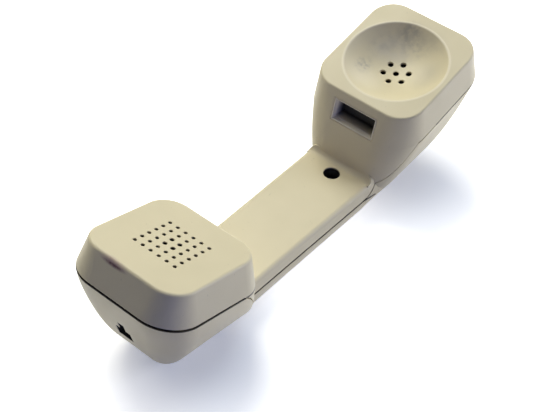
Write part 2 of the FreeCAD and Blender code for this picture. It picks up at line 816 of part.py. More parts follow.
def lead(points):
    """A wire along straight runs with mitred turns, six-sided."""
    first = (points[1] - points[0]).normalize()
    side = first.cross(Vector(0, 1, 0)).normalize()
    up = first.cross(side)
    corners = []
    for i in range(7):
        a = math.pi * i / 3
        corners.append(points[0] + side * (lead_r * math.cos(a)) + up * (lead_r * math.sin(a)))
    return Part.makePolygon(points).makePipeShell([Part.makePolygon(corners)], True, False, 1)


def lead_pair(jack_y, jack_up, route, place, lug_x, lug_y, lug_low):
    """Two like wires, one each side of the middle, from the jack's back past a route to a pair of lugs."""
    wires = []
    for side in (-1, 1):
        points = [jack_place.multVec(Vector(jack_back + run, side * jack_y, jack_up)) for run in (0.05, 2.0)]
        points += [Vector(x, side * y, z) for x, y, z in route]
        points += [place.multVec(Vector(lug_x, side * lug_y, lug_low - run)) for run in (2.0, 0.05)]
        wires.append(lead(points))
    return Part.Compound(wires)


def leads_mic():
    low = mic_clamp_z - mic_lug_height
    return lead_pair(1.5, 0.0, [(-89.8, 2.8, 34.5)], mouth_place, -mic_lug_x, mic_lug_y, low)


def leads_receiver(shelf):
    aside, up = lead_side, lead_height
    route = [(-76.0, 7.0, 17.0), (-60.0, 10.6, 9.0), (-46.0, aside, up), (44.0, aside, up), (62.0, 9.5, 10.5),
             (80.0, 7.0, 19.0)]
    return lead_pair(3.4, -2.0, route, ear_place, terminal_x, terminal_y, shelf - terminal_height)


def build():
    nodes = {}
    outer = outer_form()
    core = envelope(groove_depth)
    lip_core = envelope(groove_depth + lip_clearance)
    cavity = envelope(wall)
    middle = foot_middle()
    above = joint_line(0.0).fuse(middle)
    half = groove_width / 2
    groove = joint_line(-half, -groove_gape).cut(joint_line(half, groove_gape)).cut(core)
    above_lip = joint_line(lip_height + lip_clearance).fuse(middle)
    lip_band = joint_line(-1.0).cut([joint_line(lip_height), middle])
    nodes["front_shell"] = front_shell(outer, core, cavity, above, above_lip).cut(groove)
    nodes["back_shell"] = back_shell(outer, core, lip_core, cavity, above, lip_band).cut(groove)
    nodes["case_screw"] = case_screw()
    nodes["hook_pocket"] = hook_pocket()
    nodes["jack_housing"] = jack_housing()
    nodes["jack_contacts"] = jack_contacts()
    for name, shape in mic_parts().items():
        nodes[name] = placed(shape, mouth_place)
    nodes["mic_clamp"] = placed(clamp(mic_post_y, mic_clamp_z), mouth_place)
    nodes["mic_clamp_screws"] = placed(clamp_screws(mic_post_y, mic_clamp_z), mouth_place)
    receiver, shelf = receiver_parts()
    for name, shape in receiver.items():
        nodes[name] = placed(shape, ear_place)
    nodes["receiver_clamp"] = placed(clamp(receiver_post_y, ear_clamp_z), ear_place)
    nodes["receiver_clamp_screws"] = placed(clamp_screws(receiver_post_y, ear_clamp_z), ear_place)
    floor = wall * handle_back_thicker
    bar_low = floor + pad_height
    bar_high = bar_low + weight_height
    side = weight_half_width
    nodes["handle_weight"] = rounded_box(weight_start_x, weight_end_x, -side, side, bar_low, bar_high, 2.0)
    side -= 1.5
    start = weight_start_x + 4
    end = weight_end_x - 4
    under = box(start, end, -side, side, floor, bar_low)
    over = box(start, end, -side, side, bar_high, handle_height - wall)
    nodes["weight_pads"] = Part.Compound([under, over])
    nodes["receiver_terminals"] = placed(receiver_terminals(shelf), ear_place)
    nodes["varistor"] = placed(varistor(shelf), ear_place)
    nodes["leads_mic"] = leads_mic()
    nodes["leads_receiver"] = leads_receiver(shelf)
    return nodes


for name, shape in build().items():
    shape.exportStep(f"parts/{name}.step")
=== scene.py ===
import math

import bmesh
import bpy
from mathutils import Matrix, Vector


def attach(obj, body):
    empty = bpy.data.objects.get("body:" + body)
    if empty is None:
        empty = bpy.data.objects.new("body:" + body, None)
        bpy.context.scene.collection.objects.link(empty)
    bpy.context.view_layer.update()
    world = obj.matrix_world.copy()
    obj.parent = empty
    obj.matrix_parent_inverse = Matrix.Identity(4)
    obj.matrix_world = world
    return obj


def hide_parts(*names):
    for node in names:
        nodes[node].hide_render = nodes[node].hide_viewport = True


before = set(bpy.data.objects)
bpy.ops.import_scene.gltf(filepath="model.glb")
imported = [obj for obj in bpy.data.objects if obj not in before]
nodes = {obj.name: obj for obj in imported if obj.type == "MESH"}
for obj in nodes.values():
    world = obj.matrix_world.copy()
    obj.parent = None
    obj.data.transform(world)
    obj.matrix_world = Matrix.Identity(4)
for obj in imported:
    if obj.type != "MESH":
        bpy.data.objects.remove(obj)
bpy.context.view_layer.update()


# The two shell halves: thick injection-moulded plastic in warm beige, spark-eroded to a soft satin.
# The front half has both faces and the handle's top, the back half the boat-shaped underside. Use
# left a faint mottle, dirt specks, grey rub marks in the ear dish and one red-violet scuff. Painted
# highlights lie in the ear dish and round its rim. Painted shade lies on the dish's near side and
# in the holes, the screw well, the joint and the jack's opening.

def new_material(name):
    material = bpy.data.materials.new(name)
    material.use_nodes = True
    tree = material.node_tree
    return material, tree, tree.nodes["Principled BSDF"]


def wire(tree, source, out, target, into):
    tree.links.new(source.outputs[out], target.inputs[into])


def group_ends(group, inputs, outputs):
    for kind, name, value in inputs:
        socket = group.interface.new_socket(name=name, in_out="INPUT", socket_type=kind)
        socket.default_value = value
    for kind, name in outputs:
        group.interface.new_socket(name=name, in_out="OUTPUT", socket_type=kind)
    return group.nodes.new("NodeGroupInput"), group.nodes.new("NodeGroupOutput")


def noise(tree, scale, detail, source=None):
    """Noise over the piece's own space, in cycles per metre."""
    texture = tree.nodes.new("ShaderNodeTexNoise")
    texture.inputs["Scale"].default_value = scale
    texture.inputs["Detail"].default_value = detail
    where = source or tree.nodes.new("ShaderNodeTexCoord")
    wire(tree, where, "Object", texture, "Vector")
    return texture


def spread(tree, source, out, span, onto=(0.0, 1.0)):
    """Takes a value's span onto another one, smoothly."""
    node = tree.nodes.new("ShaderNodeMapRange")
    node.interpolation_type = "SMOOTHSTEP"
    node.inputs["From Min"].default_value, node.inputs["From Max"].default_value = span
    node.inputs["To Min"].default_value, node.inputs["To Max"].default_value = onto
    wire(tree, source, out, node, "Value")
    return node


def tint(tree, factor, out, base, into):
    """Lays a colour over another where the factor says so."""
    node = tree.nodes.new("ShaderNodeMix")
    node.data_type = "RGBA"
    wire(tree, factor, out, node, "Factor")
    for socket, value in ((node.inputs[6], base), (node.inputs[7], into)):
        if isinstance(value, tuple):
            socket.default_value = value
        else:
            tree.links.new(value, socket)
    return node


def shade_of(colour, share=1.0):
    return (*[channel * share for channel in colour], 1)


def arithmetic(tree, operation, first, second):
    node = tree.nodes.new("ShaderNodeMath")
    node.operation = operation
    for socket, value in zip(node.inputs, (first, second)):
        if isinstance(value, (int, float)):
            socket.default_value = value
        else:
            tree.links.new(value, socket)
    return node


def vector_step(tree, operation, *sources):
    """One step of vector arithmetic on outputs or fixed vectors."""
    node = tree.nodes.new("ShaderNodeVectorMath")
    node.operation = operation
    for socket, source in zip(node.inputs, sources):
        if isinstance(source, tuple):
            socket.default_value = source
        else:
            tree.links.new(source, socket)
    return node


def relief(tree, source, out, height, shader):
    """Raises the surface by a value, to a height in metres."""
    bump = tree.nodes.new("ShaderNodeBump")
    bump.inputs["Distance"].default_value = height
    wire(tree, source, out, bump, "Height")
    wire(tree, bump, "Normal", shader, "Normal")


def moulded_surface():
    """Mottle, dirt specks and the tool's fine grain, for any moulded plastic."""
    group = bpy.data.node_groups.new("moulded_surface", "ShaderNodeTree")
    start, end = group_ends(
        group,
        [
            ("NodeSocketColor", "Colour", (0.7, 0.66, 0.5, 1)),
            ("NodeSocketColor", "Mottle Colour", (0.66, 0.62, 0.46, 1)),
            ("NodeSocketFloat", "Gloss Low", 0.34),
            ("NodeSocketFloat", "Gloss High", 0.46),
        ],
        [
            ("NodeSocketColor", "Colour"),
            ("NodeSocketFloat", "Roughness"),
            ("NodeSocketFloat", "Height"),
        ],
    )
    place = group.nodes.new("ShaderNodeTexCoord")
    broad = noise(group, 28.0, 3.0, place)
    mottle = spread(group, broad, "Fac", (0.38, 0.66))
    plain, mottled = start.outputs["Colour"], start.outputs["Mottle Colour"]
    colour = tint(group, mottle, "Result", plain, mottled)
    specks = noise(group, 620.0, 1.0, place)
    dirt = spread(group, specks, "Fac", (0.74, 0.82), (0.0, 0.16))
    spotted = tint(group, dirt, "Result", colour.outputs[2], (0.2, 0.17, 0.12, 1))
    wire(group, spotted, 2, end, "Colour")
    rub = noise(group, 90.0, 4.0, place)
    share = spread(group, rub, "Fac", (0.3, 0.7))
    reach = arithmetic(group, "SUBTRACT", start.outputs["Gloss High"], start.outputs["Gloss Low"])
    step = arithmetic(group, "MULTIPLY", reach.outputs[0], share.outputs[0])
    gloss = arithmetic(group, "ADD", step.outputs[0], start.outputs["Gloss Low"])
    wire(group, gloss, 0, end, "Roughness")
    grain = noise(group, 2600.0, 2.0, place)
    wire(group, grain, "Fac", end, "Height")
    return group


def rub_and_painted_light_mark():
    """A soft-edged broken patch about a centre, for scuffs, rubbed-in dirt, painted highlight and
    painted shade.
    """
    group = bpy.data.node_groups.new("rub_and_painted_light_mark", "ShaderNodeTree")
    start, end = group_ends(
        group,
        [
            ("NodeSocketVector", "Centre", (0, 0, 0)),
            ("NodeSocketVector", "Reach", (0.01, 0.01, 0.01)),
            ("NodeSocketFloat", "Streak Scale", 300.0),
            ("NodeSocketFloat", "Broken", 0.5),
            ("NodeSocketFloat", "Cover", 0.5),
        ],
        [("NodeSocketFloat", "Mask")],
    )
    place = group.nodes.new("ShaderNodeTexCoord")
    offset = vector_step(group, "SUBTRACT", place.outputs["Object"], start.outputs["Centre"])
    scaled = vector_step(group, "DIVIDE", offset.outputs["Vector"], start.outputs["Reach"])
    distance = vector_step(group, "LENGTH", scaled.outputs["Vector"])
    fade = spread(group, distance, "Value", (0.1, 1.0), (1.0, 0.0))
    streaks = noise(group, 300.0, 4.0, place)
    wire(group, start, "Streak Scale", streaks, "Scale")
    gaps = spread(group, streaks, "Fac", (0.38, 0.64), (1.0, 0.0))
    loss = arithmetic(group, "MULTIPLY", gaps.outputs[0], start.outputs["Broken"])
    kept = arithmetic(group, "SUBTRACT", 1.0, loss.outputs[0])
    patch = arithmetic(group, "MULTIPLY", fade.outputs[0], kept.outputs[0])
    mask = arithmetic(group, "MULTIPLY", patch.outputs[0], start.outputs["Cover"])
    wire(group, mask, 0, end, "Mask")
    return group


def turned_offset(group, start):
    """The place measured from the group's centre, in a space turned about Y."""
    place = group.nodes.new("ShaderNodeTexCoord")
    turned = group.nodes.new("ShaderNodeVectorRotate")
    turned.rotation_type = "Y_AXIS"
    wire(group, place, "Object", turned, "Vector")
    wire(group, start, "Centre", turned, "Center")
    wire(group, start, "Turn", turned, "Angle")
    return vector_step(group, "SUBTRACT", turned.outputs["Vector"], start.outputs["Centre"])


def painted_shade_box():
    """1 in a box turned about Y, soft to its sides: for painted shade in holes, joints and
    recesses.
    """
    group = bpy.data.node_groups.new("painted_shade_box", "ShaderNodeTree")
    start, end = group_ends(
        group,
        [
            ("NodeSocketVector", "Centre", (0, 0, 0)),
            ("NodeSocketVector", "Half Size", (0.01, 0.01, 0.01)),
            ("NodeSocketFloat", "Turn", 0.0),
            ("NodeSocketFloat", "Softness", 0.001),
            ("NodeSocketFloat", "Cover", 0.9),
        ],
        [("NodeSocketFloat", "Mask")],
    )
    offset = turned_offset(group, start)
    away = vector_step(group, "ABSOLUTE", offset.outputs["Vector"])
    past = vector_step(group, "SUBTRACT", away.outputs["Vector"], start.outputs["Half Size"])
    sides = group.nodes.new("ShaderNodeSeparateXYZ")
    wire(group, past, "Vector", sides, 0)
    flat = arithmetic(group, "MAXIMUM", sides.outputs[0], sides.outputs[1])
    depth = arithmetic(group, "MAXIMUM", flat.outputs[0], sides.outputs[2])
    share = arithmetic(group, "DIVIDE", depth.outputs[0], start.outputs["Softness"])
    inside = spread(group, share, "Value", (-1.0, 0.0), (1.0, 0.0))
    mask = arithmetic(group, "MULTIPLY", inside.outputs[0], start.outputs["Cover"])
    wire(group, mask, 0, end, "Mask")
    return group


def painted_rim_highlight():
    """1 along a circle round an axis turned about Y: for a painted highlight along a rounded rim.
    """
    group = bpy.data.node_groups.new("painted_rim_highlight", "ShaderNodeTree")
    start, end = group_ends(
        group,
        [
            ("NodeSocketVector", "Centre", (0, 0, 0)),
            ("NodeSocketFloat", "Turn", 0.0),
            ("NodeSocketFloat", "Radius", 0.02),
            ("NodeSocketFloat", "Width", 0.001),
            ("NodeSocketFloat", "Cover", 0.5),
        ],
        [("NodeSocketFloat", "Mask")],
    )
    offset = turned_offset(group, start)
    sides = group.nodes.new("ShaderNodeSeparateXYZ")
    wire(group, offset, "Vector", sides, 0)
    flat = group.nodes.new("ShaderNodeCombineXYZ")
    wire(group, sides, "X", flat, "X")
    wire(group, sides, "Y", flat, "Y")
    reach = vector_step(group, "LENGTH", flat.outputs["Vector"])
    aside = arithmetic(group, "SUBTRACT", reach.outputs["Value"], start.outputs["Radius"])
    section = group.nodes.new("ShaderNodeCombineXYZ")
    wire(group, aside, 0, section, "X")
    wire(group, sides, "Z", section, "Y")
    away = vector_step(group, "LENGTH", section.outputs["Vector"])
    share = arithmetic(group, "DIVIDE", away.outputs["Value"], start.outputs["Width"])
    ring = spread(group, share, "Value", (0.2, 1.0), (1.0, 0.0))
    mask = arithmetic(group, "MULTIPLY", ring.outputs[0], start.outputs["Cover"])
    wire(group, mask, 0, end, "Mask")
    return group


moulding_group = moulded_surface()
rub_and_painted_light_group = rub_and_painted_light_mark()
painted_shade_group = painted_shade_box()
painted_rim_group = painted_rim_highlight()


satin = (0.38, 0.48)
spark_grain = 0.000012
# near black: the colour of painted shade in holes, joints and recesses
painted_shade_colour = (0.012, 0.011, 0.010)


def lay_over(tree, last, group, values, shade):
    """Lays a colour over the last one where a group's mask says so."""
    mask = tree.nodes.new("ShaderNodeGroup")
    mask.node_tree = group
    for socket, value in zip(mask.inputs, values):
        socket.default_value = value
    return tint(tree, mask, "Mask", last, shade_of(shade)).outputs[2]


def moulded_plastic(name, colour, mottle, gloss=satin, marks=(), rims=(), hollows=()):
    """Plastic with rub marks and painted light, then painted highlight on rims, then painted shade
    in hollows laid over it.
    """
    material, tree, shader = new_material(name)
    surface = tree.nodes.new("ShaderNodeGroup")
    surface.node_tree = moulding_group
    for socket, value in zip(surface.inputs, (shade_of(colour), shade_of(mottle), *gloss)):
        socket.default_value = value
    last = surface.outputs["Colour"]
    for *values, shade in marks:
        last = lay_over(tree, last, rub_and_painted_light_group, values, shade)
    # painted highlight round each rim
    for centre, turn, radius, width, cover, shade in rims:
        values = (centre, math.radians(-turn), radius, width, cover)
        last = lay_over(tree, last, painted_rim_group, values, shade)
    # painted shade, near black, in each hollow
    for centre, half_size, turn, softness, cover in hollows:
        values = (centre, half_size, math.radians(-turn), softness, cover)
        last = lay_over(tree, last, painted_shade_group, values, painted_shade_colour)
    tree.links.new(last, shader.inputs["Base Color"])
    wire(tree, surface, "Roughness", shader, "Roughness")
    relief(tree, surface, "Height", spark_grain, shader)
    shader.inputs["Specular IOR Level"].default_value = 0.30
    return material


def give(material, *names):
    for name in names:
        nodes[name].data.materials.clear()
        nodes[name].data.materials.append(material)


beige = (0.765, 0.682, 0.464)
beige_mottle = (0.735, 0.655, 0.443)
mouth_face = (-0.0772, 0.0, 0.0547)
mouth_tilt = 16.0
ear_face = (0.0756, 0.0, 0.0599)
ear_tilt = 12.9
jack_lean = 15.5
# grey for rubbed-in smudges, and for painted shade on the dish's near side
grey_rub_and_painted_shade = (0.30, 0.285, 0.26)
pale_rub = (0.69, 0.64, 0.53)
scuff_colour = (0.090, 0.026, 0.046)
scuff_haze = (0.38, 0.20, 0.25)
# pale colour of the painted highlight in the ear dish and round its rim
painted_highlight = (0.90, 0.82, 0.62)
# each mark: centre, reach, scale of its streaks, how broken, cover, colour
front_marks = [
    # a painted highlight: a pale pool on the dish's side towards the handle, where the light falls
    ((0.0650, 0.0100, 0.0520), (0.012, 0.015, 0.010), 150.0, 0.1, 0.85, painted_highlight),
    ((0.0860, 0.0080, 0.0553), (0.016, 0.016, 0.009), 150.0, 0.3, 0.75, pale_rub),
    # painted shade: the dish darker on its near side
    ((0.0830, -0.0150, 0.0540), (0.014, 0.013, 0.010), 120.0, 0.2, 0.30, grey_rub_and_painted_shade),
    ((0.0955, 0.0060, 0.0620), (0.0085, 0.0080, 0.007), 420.0, 0.7, 0.62, grey_rub_and_painted_shade),
    ((0.0925, 0.0020, 0.0585), (0.011, 0.013, 0.008), 300.0, 0.8, 0.40, grey_rub_and_painted_shade),
    ((0.0950, -0.0010, 0.0620), (0.010, 0.019, 0.008), 200.0, 0.5, 0.26, grey_rub_and_painted_shade),
    ((0.0705, 0.0135, 0.0532), (0.0075, 0.0065, 0.004), 480.0, 0.7, 0.46, grey_rub_and_painted_shade),
    ((0.0860, 0.0140, 0.0570), (0.016, 0.010, 0.009), 240.0, 0.7, 0.24, grey_rub_and_painted_shade),
    ((-0.1038, 0.0058, 0.0609), (0.0028, 0.0086, 0.0021), 400.0, 0.3, 0.78, scuff_haze),
    ((-0.1043, 0.0052, 0.0603), (0.0028, 0.0080, 0.00108), 900.0, 0.25, 1.0, scuff_colour),
]
# the dish's rim, a pale ring of painted highlight: centre, tilt, radius, width, cover, colour
front_rims = [(ear_face, -ear_tilt, 0.0246, 0.0011, 0.75, painted_highlight)]
# painted shade under the mouth grid, under the ear holes and in the well:
# centre, half size, tilt, softness, cover
front_hollows = [
    ((-0.07875, 0.0, 0.0493), (0.017, 0.017, 0.0053), mouth_tilt, 0.0004, 0.99),
    ((0.0786, 0.0, 0.0466), (0.0085, 0.0085, 0.0039), -ear_tilt, 0.0004, 0.99),
    ((0.033, 0.0, 0.0085), (0.0052, 0.0052, 0.0083), 0.0, 0.0009, 0.99),
]
# the shadow in the joint, at the mouth block, the handle and the ear block
joint_lines = [
    ((-0.0823, 0.0, 0.0403), (0.031, 0.031, 0.00062), mouth_tilt, 0.0002, 0.93),
    ((-0.008, 0.0, 0.0105), (0.050, 0.031, 0.00052), 0.0, 0.0002, 0.93),
    ((0.0955, 0.0, 0.0474), (0.026, 0.033, 0.00052), -ear_tilt, 0.0002, 0.93),
]
# painted shade, near black, on the walls of the jack's plug room and its latch slot
jack_hollows = [
    ((-0.102914, 0.0, 0.024868), (0.00175, 0.00420, 0.00370), -jack_lean, 0.00015, 0.99),
    ((-0.104424, 0.0, 0.030312), (0.00175, 0.00185, 0.00265), -jack_lean, 0.00015, 0.99),
]
front_hollows += joint_lines
back_hollows = joint_lines + jack_hollows
front_plastic = moulded_plastic(
    "front_plastic", beige, beige_mottle, marks=front_marks, rims=front_rims, hollows=front_hollows
)
give(front_plastic, "front_shell")
give(moulded_plastic("back_plastic", beige, beige_mottle, hollows=back_hollows), "back_shell")


# The hook pocket: a beige moulded box let into the ear block's inner wall, where a wall telephone's
# tab hooks in. Its plastic is painted paler than the shell, a painted highlight on its lip, and
# painted shade darkens it towards its back.

# painted shade: darker towards the pocket's back, over a pale colour that is a painted highlight on
# its lip
pocket_hollow = ((0.0545, 0.0010, 0.0425), (0.0085, 0.0190, 0.0200), 10.0, 0.0070, 0.97)
pocket_plastic = moulded_plastic(
    "pocket_plastic", (0.90, 0.84, 0.68), (0.86, 0.80, 0.64), (0.4, 0.5), hollows=[pocket_hollow]
)
give(pocket_plastic, "hook_pocket")


# The case screw: zinc-plated steel, pan head with a cross recess, sunk in its well at the ear end
# of the handle. Four smaller ones hold the clamps inside. Heads are cold-formed, threads rolled.

def plated(name, colour, low, high, scale=240.0):
    material, tree, shader = new_material(name)
    patches = noise(tree, scale, 3.0)
    share = spread(tree, patches, "Fac", (0.3, 0.7))
    tone = tint(tree, share, "Result", shade_of(colour), shade_of(colour, 0.85))
    wire(tree, tone, 2, shader, "Base Color")
    gloss = spread(tree, patches, "Fac", (0.3, 0.7), (low, high))
    wire(tree, gloss, "Result", shader, "Roughness")
    shader.inputs["Metallic"].default_value = 1.0
    return material


def piece(name, mesh, material, replaced=None, body="handset"):
    """Makes a mesh an object that rides on a body and stands for a node."""
    data = bpy.data.meshes.new(name)
    mesh.to_mesh(data)
    mesh.free()
    data.materials.append(material)
    made = bpy.data.objects.new(name, data)
    bpy.context.scene.collection.objects.link(made)
    if replaced:
        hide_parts(replaced)
    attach(made, body)


def grow_ring(mesh, edges, wider, up):
    """Draws a ring of edges out into a new band and gives the new edges."""
    grown = bmesh.ops.extrude_edge_only(mesh, edges=edges)["geom"]
    verts = [v for v in grown if isinstance(v, bmesh.types.BMVert)]
    bmesh.ops.scale(mesh, verts=verts, vec=(wider, wider, 1))
    bmesh.ops.translate(mesh, verts=verts, vec=(0, 0, up))
    return [e for e in grown if isinstance(e, bmesh.types.BMEdge)]


# shares of the head's radius and height
recess_arm = 0.13
recess_reach = 0.56
recess_depth = 0.6
recess_taper = 0.62
head_dome = [(0.66, 0.97), (0.84, 0.86), (0.95, 0.68), (1.0, 0.45), (1.0, 0.08), (0.97, 0.0)]
neck_depth = -0.3
head_segments = 36


def screw_head(mesh, head_r, head_height, shank_r):
    """The domed head over the plane z = 0, with its cross recess."""
    arm = head_r * recess_arm
    reach = head_r * recess_reach
    corners = []
    for quarter in range(4):
        turn = Matrix.Rotation(math.radians(90 * quarter), 4, "Z")
        for x, y in ((reach, -arm), (reach, arm), (arm, arm)):
            corners.append(mesh.verts.new(turn @ Vector((x, y, head_height))))
    top = mesh.faces.new(corners)
    cross = list(top.edges)
    sunk = bmesh.ops.extrude_face_region(mesh, geom=[top])["geom"]
    recess_floor = [v for v in sunk if isinstance(v, bmesh.types.BMVert)]
    bmesh.ops.translate(mesh, verts=recess_floor, vec=(0, 0, -head_height * recess_depth))
    bmesh.ops.scale(mesh, verts=recess_floor, vec=(recess_taper, recess_taper, 1))
    if top.is_valid:
        bmesh.ops.delete(mesh, geom=[top], context="FACES_ONLY")
    crown_r, crown_z = head_dome[0]
    drawn = bmesh.ops.create_circle(mesh, segments=head_segments, radius=head_r * crown_r)
    circle = drawn["verts"]
    bmesh.ops.translate(mesh, verts=circle, vec=(0, 0, head_height * crown_z))
    ring = list({e for v in circle for e in v.link_edges})
    bmesh.ops.bridge_loops(mesh, edges=cross + ring)
    neck = shank_r / head_r
    bands = head_dome + [(neck, 0.0), (neck, neck_depth)]
    for (r, z), (next_r, next_z) in zip(bands, bands[1:]):
        ring = grow_ring(mesh, ring, next_r / r, (next_z - z) * head_height)
    bmesh.ops.holes_fill(mesh, edges=ring)


thread_root = 0.76
thread_flank = [(0, 0.0), (1, 0.42), (1, 0.58), (0, 1.0)]
steps_per_turn = 16
run_out_turns = 1.5
point_share = 0.3


def rolled_thread(mesh, crest_r, top, length, pitch):
    """A V thread wound down from top, drawn in over its last turn and a half."""
    radii = (crest_r * thread_root, crest_r)
    line = [mesh.verts.new((radii[high], 0, top - pitch * share)) for high, share in thread_flank]
    edges = [mesh.edges.new(pair) for pair in zip(line, line[1:])]
    turns = int((length + top) / pitch) - 1
    bmesh.ops.spin(
        mesh, geom=line + edges, cent=(0, 0, 0), axis=(0, 0, 1), angle=2 * math.pi * turns,
        steps=steps_per_turn * turns, dvec=(0, 0, -pitch / steps_per_turn),
    )
    bmesh.ops.remove_doubles(mesh, verts=mesh.verts, dist=1e-6)
    open_ends = [e for e in mesh.edges if e.is_boundary]
    bmesh.ops.holes_fill(mesh, edges=open_ends)
    low = min(v.co.z for v in mesh.verts)
    for v in mesh.verts:
        share = (v.co.z - low) / (run_out_turns * pitch)
        if share < 1.0:
            v.co.xy *= max(point_share, share)


thread_start = 0.1


def screws(name, replaced, seats, head_r, head_height, shank_r, length, pitch):
    """Like screws in one piece, each stood at its seat."""
    whole = bmesh.new()
    for seat in seats:
        one = bmesh.new()
        screw_head(one, head_r, head_height, shank_r)
        rolled_thread(one, shank_r, -head_height * thread_start, length, pitch)
        bmesh.ops.recalc_face_normals(one, faces=one.faces)
        bmesh.ops.transform(one, matrix=seat, verts=one.verts)
        part = bpy.data.meshes.new("one_screw")
        one.to_mesh(part)
        one.free()
        whole.from_mesh(part)
        bpy.data.meshes.remove(part)
    piece(name, whole, zinc, replaced)


zinc = plated("zinc_plate", (0.45, 0.45, 0.46), 0.24, 0.4)
mouth_place = Matrix.Translation(mouth_face)
mouth_place @= Matrix.Rotation(math.radians(mouth_tilt), 4, "Y")
ear_place = Matrix.Translation(ear_face)
ear_place @= Matrix.Rotation(math.radians(-ear_tilt), 4, "Y")
well_floor = Matrix.Translation((0.033, 0, 0.010))
screws(
    "screw_of_case", "case_screw", [well_floor],
    head_r=0.0029, head_height=0.0021, shank_r=0.00145, length=0.007, pitch=0.00092,
)
for name, replaced, place, aside, under in (
    ("screws_of_mic_clamp", "mic_clamp_screws", mouth_place, 0.0206, -0.0170),
    ("screws_of_receiver_clamp", "receiver_clamp_screws", ear_place, 0.0202, -0.0307),
):
    seats = []
    for side in (-1, 1):
        down = Matrix.Rotation(math.pi, 4, "X")
        seats.append(place @ Matrix.Translation((0, side * aside, under)) @ down)
    screws(
        name, replaced, seats,
        head_r=0.0023, head_height=0.0016, shank_r=0.0011, length=0.008, pitch=0.00075,
    )


# The modular jack: a black moulded housing behind the opening in the mouth end. Its four spring
# wires, flashed with gold, are moulded into one root bar, stand up into the socket and bend over at
# their tips.

black, black_mottle = (0.012, 0.012, 0.012), (0.018, 0.018, 0.017)
jack_black = moulded_plastic("jack_plastic", black, black_mottle, (0.42, 0.55))
jack_black.node_tree.nodes["Principled BSDF"].inputs["Specular IOR Level"].default_value = 0.06
give(jack_black, "jack_housing")
gold = plated("gold_flash", (0.85, 0.63, 0.3), 0.2, 0.34, 500.0)
give(gold, "receiver_terminals")
jack_place = Matrix.Translation((-0.1046, 0, 0.0244))
jack_place @= Matrix.Rotation(math.radians(-jack_lean), 4, "Y")
root_place = jack_place @ Matrix.Translation((0.0052, 0, -0.00425))
spring_count = 4
spring_rise = 24.0
spring_pitch = 0.00102
spring_wire = 0.00046
spring_length = 0.0053
tip_bend = 70.0
tip_bend_r = 0.0007
tip_round = 0.2
beside_middle = (spring_count - 1) / 2
root_r = 0.0006
root_past_springs = 0.0005
root_edge = 0.00015


def round_bar(mesh, radius, segments, about, start, run):
    """A capped round bar: an end turned about an axis and drawn out. Gives the far end."""
    ring = bmesh.ops.create_circle(mesh, cap_ends=True, segments=segments, radius=radius)["verts"]
    quarter = Matrix.Rotation(math.pi / 2, 3, about)
    bmesh.ops.rotate(mesh, verts=ring, cent=(0, 0, 0), matrix=quarter)
    bmesh.ops.translate(mesh, verts=ring, vec=start)
    drawn = bmesh.ops.extrude_face_region(mesh, geom=list(ring[0].link_faces))["geom"]
    moved = [v for v in drawn if isinstance(v, bmesh.types.BMVert)]
    bmesh.ops.translate(mesh, verts=moved, vec=run)
    return next(f for f in drawn if isinstance(f, bmesh.types.BMFace))


def rounded(mesh, edges, offset):
    bmesh.ops.bevel(
        mesh, geom=edges, offset=offset, segments=2, profile=0.5, affect="EDGES", material=-1
    )


def spring_wires():
    """Round wires side by side: straight out of the bar, then bent down at the tip."""
    wires = bmesh.new()
    for number in range(spring_count):
        y = (number - beside_middle) * spring_pitch
        end = round_bar(wires, spring_wire / 2, 12, "Y", (0, y, 0), (spring_length, 0, 0))
        bend = bmesh.ops.spin(
            wires, geom=[end], cent=(spring_length, y, -tip_bend_r), axis=(0, 1, 0),
            angle=math.radians(tip_bend), steps=7,
        )["geom_last"]
        bmesh.ops.delete(wires, geom=[end], context="FACES_ONLY")
        tip = [e for g in bend if isinstance(g, bmesh.types.BMFace) for e in g.edges]
        rounded(wires, tip, spring_wire * tip_round)
    bmesh.ops.remove_doubles(wires, verts=wires.verts, dist=1e-7)
    bmesh.ops.recalc_face_normals(wires, faces=wires.faces)
    turn = Matrix.Rotation(math.radians(-spring_rise), 4, "Y")
    bmesh.ops.transform(wires, matrix=root_place @ turn, verts=wires.verts)
    return wires


def root_bar():
    bar = bmesh.new()
    half = beside_middle * spring_pitch + root_past_springs
    round_bar(bar, root_r, 24, "X", (0, -half, 0), (0, 2 * half, 0))
    rims = [e for e in bar.edges if abs(e.verts[0].co.y - e.verts[1].co.y) < 1e-6]
    rounded(bar, rims, root_edge)
    bmesh.ops.recalc_face_normals(bar, faces=bar.faces)
    bmesh.ops.transform(bar, matrix=root_place, verts=bar.verts)
    return bar


piece("contact_springs", spring_wires(), gold, "jack_contacts", body="contacts")
piece("contact_root_bar", root_bar(), jack_black, body="contacts")


# The transmitter capsule under the mouth grid: a cloth against dust, a rubber ring, a drawn
# aluminium can, the microphone element on its small board, and a moulded base held by a bridge on
# two posts.

bands_per_scale = 3.2


def turned_bands(tree, tilt, direction, pitch):
    """Soft bands across a direction, at a pitch, in the space of a face tilted about Y."""
    where = tree.nodes.new("ShaderNodeTexCoord")
    turned = tree.nodes.new("ShaderNodeMapping")
    turned.inputs["Rotation"].default_value = (0, math.radians(-tilt), 0)
    wire(tree, where, "Object", turned, "Vector")
    wave = tree.nodes.new("ShaderNodeTexWave")
    wave.bands_direction = direction
    wave.inputs["Scale"].default_value = 1.0 / pitch / bands_per_scale
    wire(tree, turned, "Vector", wave, "Vector")
    return wave


def woven(name, colour, tilt, pitch):
    """A plain weave whose threads follow two directions of the face that it lies on."""
    material, tree, shader = new_material(name)
    warp, weft = [turned_bands(tree, tilt, direction, pitch) for direction in "XY"]
    crossing = arithmetic(tree, "MULTIPLY", warp.outputs["Fac"], weft.outputs["Fac"])
    tone = tint(tree, crossing, "Value", shade_of(colour, 0.4), shade_of(colour))
    wire(tree, tone, 2, shader, "Base Color")
    shader.inputs["Roughness"].default_value = 0.9
    relief(tree, crossing, "Value", 0.00012, shader)
    return material


